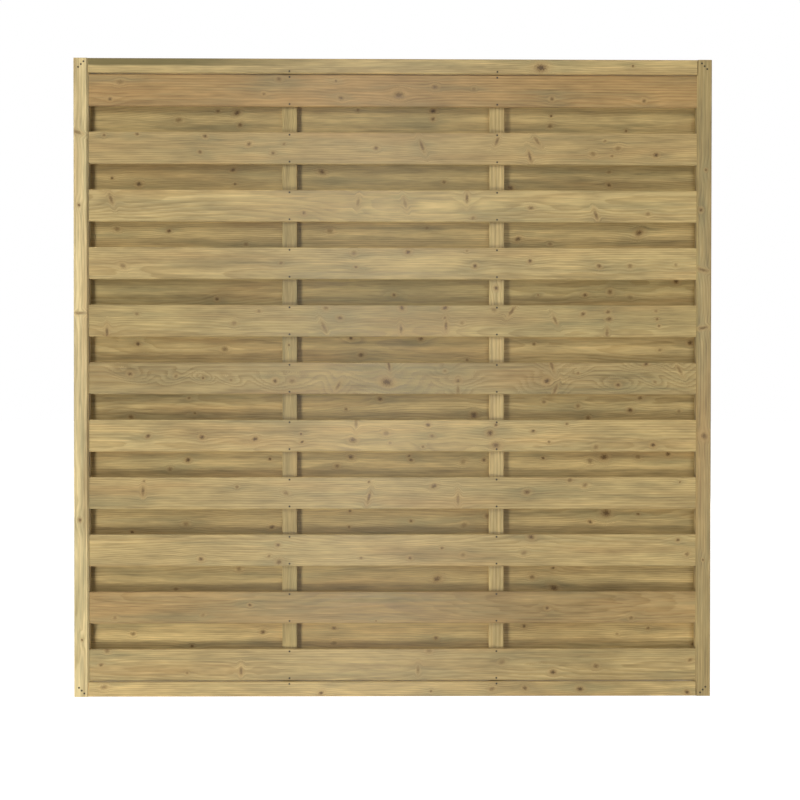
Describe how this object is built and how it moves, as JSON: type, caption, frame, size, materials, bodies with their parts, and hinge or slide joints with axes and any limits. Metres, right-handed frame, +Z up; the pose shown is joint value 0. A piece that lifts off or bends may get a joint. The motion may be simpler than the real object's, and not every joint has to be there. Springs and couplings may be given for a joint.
{
  "type": "privacy fence panel",
  "caption": "Square framed timber fence panel: horizontal slats on both faces of upright battens, the back ones behind the gaps, so air passes and the view is closed.",
  "frame": {"origin": "middle of the panel's bottom edge, half way through its depth", "axes": "+Z up, +X to the right as seen from the front, +Y from the front towards the back"},
  "size_m": [1.8, 0.044, 1.8],
  "materials": {
    "frame_timber": "planed pressure-treated softwood, green tint, rounded arrises",
    "batten_timber": "planed pressure-treated softwood, green tint",
    "front_slat_timber": "planed pressure-treated softwood with knots, eased edges",
    "back_slat_timber": "planed pressure-treated softwood with knots, eased edges",
    "brad_steel": "dull galvanised wire"
  },
  "bodies": {
    "root": {"left_stile": "frame_timber", "right_stile": "frame_timber", "top_rail": "frame_timber", "bottom_rail": "frame_timber", "batten_1": "batten_timber", "batten_2": "batten_timber", "front_slat_01": "front_slat_timber", "front_slat_02": "front_slat_timber", "front_slat_03": "front_slat_timber", "front_slat_04": "front_slat_timber", "front_slat_05": "front_slat_timber", "front_slat_06": "front_slat_timber", "front_slat_07": "front_slat_timber", "front_slat_08": "front_slat_timber", "front_slat_09": "front_slat_timber", "front_slat_10": "front_slat_timber", "front_slat_11": "front_slat_timber", "back_slat_01": "back_slat_timber", "back_slat_02": "back_slat_timber", "back_slat_03": "back_slat_timber", "back_slat_04": "back_slat_timber", "back_slat_05": "back_slat_timber", "back_slat_06": "back_slat_timber", "back_slat_07": "back_slat_timber", "back_slat_08": "back_slat_timber", "back_slat_09": "back_slat_timber", "back_slat_10": "back_slat_timber", "front_slat_brads": "brad_steel", "back_slat_brads": "brad_steel", "corner_brads": "brad_steel", "rail_brads": "brad_steel"}
  },
  "joints": []
}
